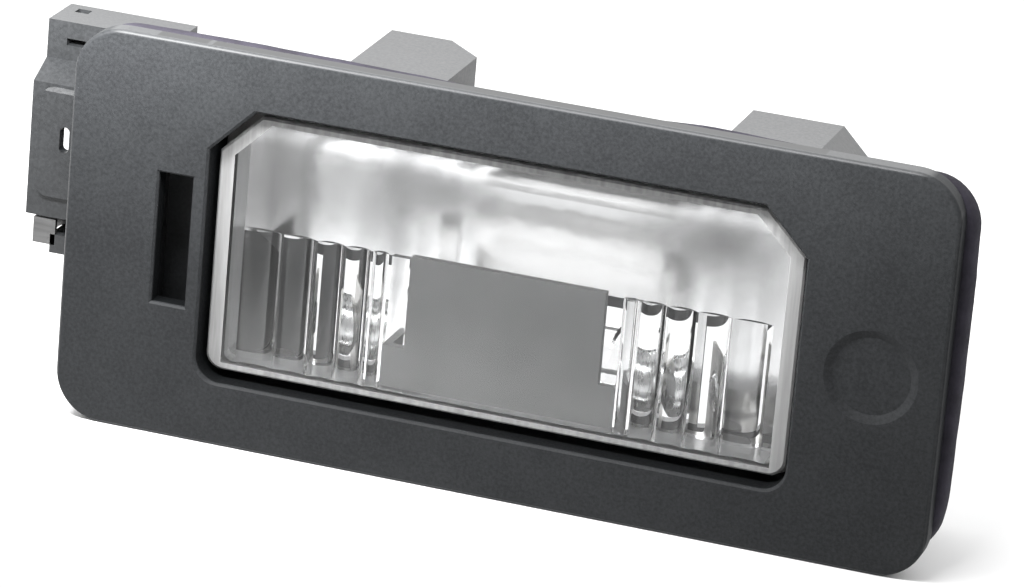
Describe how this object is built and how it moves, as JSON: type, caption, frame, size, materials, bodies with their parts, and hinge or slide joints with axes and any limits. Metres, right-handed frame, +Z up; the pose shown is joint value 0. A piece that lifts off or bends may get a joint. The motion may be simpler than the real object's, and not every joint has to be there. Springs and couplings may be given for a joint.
{
  "type": "number plate lamp",
  "caption": "Clip-in number plate lamp: black frame with gasket, clear fluted lens, tubular bulb in spring contacts, bright reflector, rear housing and plug socket.",
  "frame": {"origin": "centre of the bezel in the plane of the gasket's rear face, where the lamp bears on the car's panel", "axes": "+X along the lamp's length, away from the plug socket; +Y backwards, into the panel; +Z up"},
  "size_m": [0.0953, 0.0218, 0.04],
  "materials": {
    "black_plastic": "fine grained, satin",
    "gasket_rubber": "soft, matt",
    "clear_lens": "clear polycarbonate, polished",
    "bright_coating": "metallised plastic, slightly soft",
    "grey_plastic": "smooth, matt",
    "bulb_glass": "clear glass",
    "cap_metal": "pressed, bright",
    "wire_metal": "drawn wire",
    "contact_brass": "stamped strip",
    "spring_steel": "plain"
  },
  "bodies": {
    "root": {"bezel": "black_plastic", "gasket": "gasket_rubber", "lens": "clear_lens", "lens_seal": "gasket_rubber", "reflector": "bright_coating", "light_shield": "grey_plastic", "rear_housing": "black_plastic", "bulb_glass": "bulb_glass", "bulb_cap_left": "cap_metal", "bulb_cap_right": "cap_metal", "filament": "wire_metal", "lead_wire_left": "wire_metal", "lead_wire_right": "wire_metal", "contact_spring_left": "contact_brass", "contact_spring_right": "contact_brass", "earth_strip": "contact_brass", "live_strip": "contact_brass", "contact_rivets": "spring_steel", "plug_socket": "black_plastic", "latch_spring": "spring_steel"}
  },
  "joints": []
}
